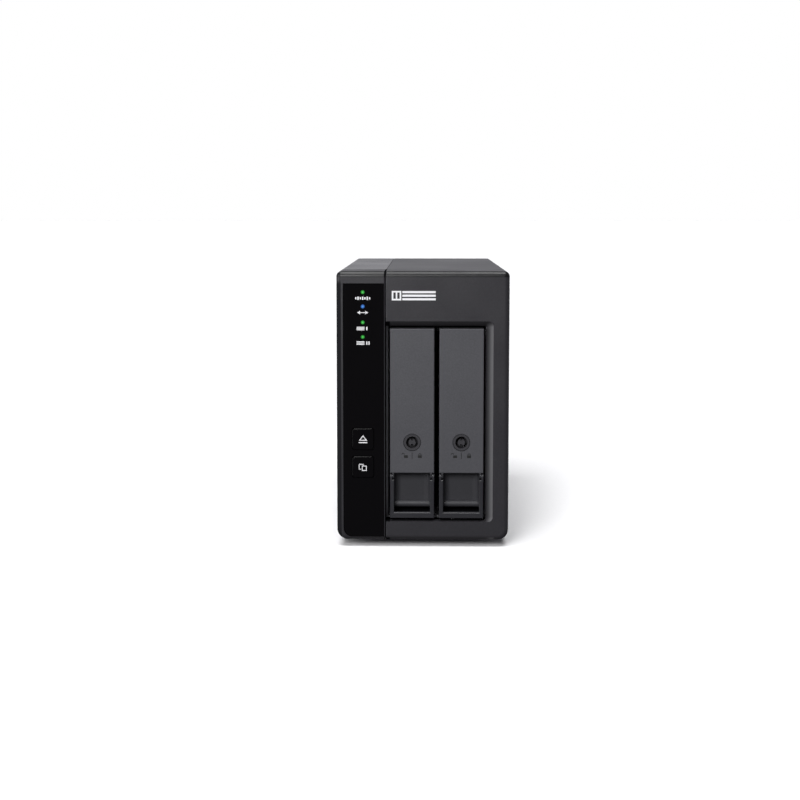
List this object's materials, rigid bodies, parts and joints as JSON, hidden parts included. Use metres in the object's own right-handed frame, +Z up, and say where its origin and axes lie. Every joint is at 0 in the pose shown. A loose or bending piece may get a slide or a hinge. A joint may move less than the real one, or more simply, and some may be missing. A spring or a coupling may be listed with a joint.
{
  "type": "two-bay desktop storage enclosure",
  "caption": "Upright two-bay desktop drive box with locking slide-out trays, a glossy control panel at the left and a fan at the back.",
  "frame": {"origin": "middle of the bounding box in plan, on the surface that the rubber feet stand on", "axes": "+X to the right seen from the front, +Y to the back, +Z up; the control panel and trays face -Y"},
  "size_m": [0.102, 0.219, 0.1643],
  "materials": {
    "cover": "fine-grained matte dark grey plastic",
    "bezel": "fine-grained matte dark grey plastic",
    "gloss_panel": "polished black plastic",
    "green_light": "clear green light pipe",
    "blue_light": "clear blue light pipe",
    "circuit_board": "green solder mask",
    "black_plastic": "moulded black plastic",
    "white_plastic": "moulded white plastic",
    "steel_sheet": "zinc-plated sheet steel",
    "rear_sheet": "black powder-coated sheet",
    "screw_steel": "black-nickel plated steel",
    "brass_spacer": "turned brass",
    "heat_sink_metal": "extruded aluminium",
    "rubber": "soft black rubber",
    "tray_plastic": "fine-grained matte grey plastic",
    "drive_casting": "cast aluminium"
  },
  "bodies": {
    "root": {"left_cover": "cover", "right_cover": "cover", "front_bezel": "bezel", "panel_bezel": "bezel", "panel_lens": "gloss_panel", "status_light": "green_light", "link_light": "blue_light", "drive_1_light": "green_light", "drive_2_light": "green_light", "control_board": "circuit_board", "panel_switches": "black_plastic", "panel_diodes": "white_plastic", "drive_cage": "steel_sheet", "cage_lid": "steel_sheet", "guide_rails": "black_plastic", "cage_screws": "screw_steel", "backplane": "circuit_board", "drive_sockets": "black_plastic", "main_board": "circuit_board", "board_standoffs": "brass_spacer", "board_screws": "screw_steel", "board_connector": "black_plastic", "controller_chip": "black_plastic", "heat_sink": "heat_sink_metal", "data_socket": "steel_sheet", "dc_jack": "black_plastic", "mode_switch": "black_plastic", "power_switch": "black_plastic", "rear_panel": "rear_sheet", "rear_screws": "screw_steel", "fan_frame": "black_plastic", "rubber_feet": "rubber", "foot_screws": "screw_steel"},
    "tray_1": {"tray_fascia_1": "tray_plastic", "handle_pins_1": "screw_steel", "tray_sled_1": "tray_plastic", "drive_body_1": "drive_casting", "drive_lid_1": "steel_sheet", "drive_board_1": "circuit_board", "drive_screws_1": "screw_steel"},
    "handle_1": {"tray_handle_1": "tray_plastic"},
    "lock_1": {"lock_barrel_1": "tray_plastic", "lock_cam_1": "screw_steel"},
    "tray_2": {"tray_fascia_2": "tray_plastic", "handle_pins_2": "screw_steel", "tray_sled_2": "tray_plastic", "drive_body_2": "drive_casting", "drive_lid_2": "steel_sheet", "drive_board_2": "circuit_board", "drive_screws_2": "screw_steel"},
    "handle_2": {"tray_handle_2": "tray_plastic"},
    "lock_2": {"lock_barrel_2": "tray_plastic", "lock_cam_2": "screw_steel"},
    "eject_button": {"eject_button": "gloss_panel"},
    "copy_button": {"copy_button": "gloss_panel"},
    "set_button": {"set_button": "black_plastic"},
    "mode_slider_1": {"mode_slider_1": "white_plastic"},
    "mode_slider_2": {"mode_slider_2": "white_plastic"},
    "power_rocker": {"power_rocker": "black_plastic"},
    "fan_rotor": {"fan_rotor": "black_plastic"}
  },
  "joints": [
    {"name": "tray_1_slide", "type": "slide", "parent": "root", "child": "tray_1", "axis": [0, -1, 0], "range_m": [0, 0.13]},
    {"name": "handle_1_hinge", "type": "hinge", "parent": "tray_1", "child": "handle_1", "pos_m": [-0.0063, -0.1066, 0.042], "axis": [-1, 0, 0], "range_deg": [0, 45]},
    {"name": "lock_1_turn", "type": "hinge", "parent": "tray_1", "child": "lock_1", "pos_m": [-0.0063, -0.1, 0.0627], "axis": [0, 1, 0], "range_deg": [0, 90]},
    {"name": "tray_2_slide", "type": "slide", "parent": "root", "child": "tray_2", "axis": [0, -1, 0], "range_m": [0, 0.13]},
    {"name": "handle_2_hinge", "type": "hinge", "parent": "tray_2", "child": "handle_2", "pos_m": [0.0229, -0.1066, 0.042], "axis": [-1, 0, 0], "range_deg": [0, 45]},
    {"name": "lock_2_turn", "type": "hinge", "parent": "tray_2", "child": "lock_2", "pos_m": [0.0229, -0.1, 0.0627], "axis": [0, 1, 0], "range_deg": [0, 90]},
    {"name": "eject_press", "type": "slide", "parent": "root", "child": "eject_button", "axis": [0, 1, 0], "range_m": [0, 0.0008], "stiffness_N_per_m": 400, "springref_m": -0.001},
    {"name": "copy_press", "type": "slide", "parent": "root", "child": "copy_button", "axis": [0, 1, 0], "range_m": [0, 0.0008], "stiffness_N_per_m": 400, "springref_m": -0.001},
    {"name": "set_press", "type": "slide", "parent": "root", "child": "set_button", "axis": [0, -1, 0], "range_m": [0, 0.0008], "stiffness_N_per_m": 400, "springref_m": -0.001},
    {"name": "mode_1_slide", "type": "slide", "parent": "root", "child": "mode_slider_1", "axis": [0, 0, 1], "range_m": [0, 0.002]},
    {"name": "mode_2_slide", "type": "slide", "parent": "root", "child": "mode_slider_2", "axis": [0, 0, 1], "range_m": [0, 0.002]},
    {"name": "power_rock", "type": "hinge", "parent": "root", "child": "power_rocker", "pos_m": [-0.0345, 0.1046, 0.126], "axis": [1, 0, 0], "range_deg": [0, 16]},
    {"name": "fan_spin", "type": "hinge", "parent": "root", "child": "fan_rotor", "pos_m": [0.0124, 0.09, 0.084], "axis": [0, 1, 0], "continuous": true}
  ]
}
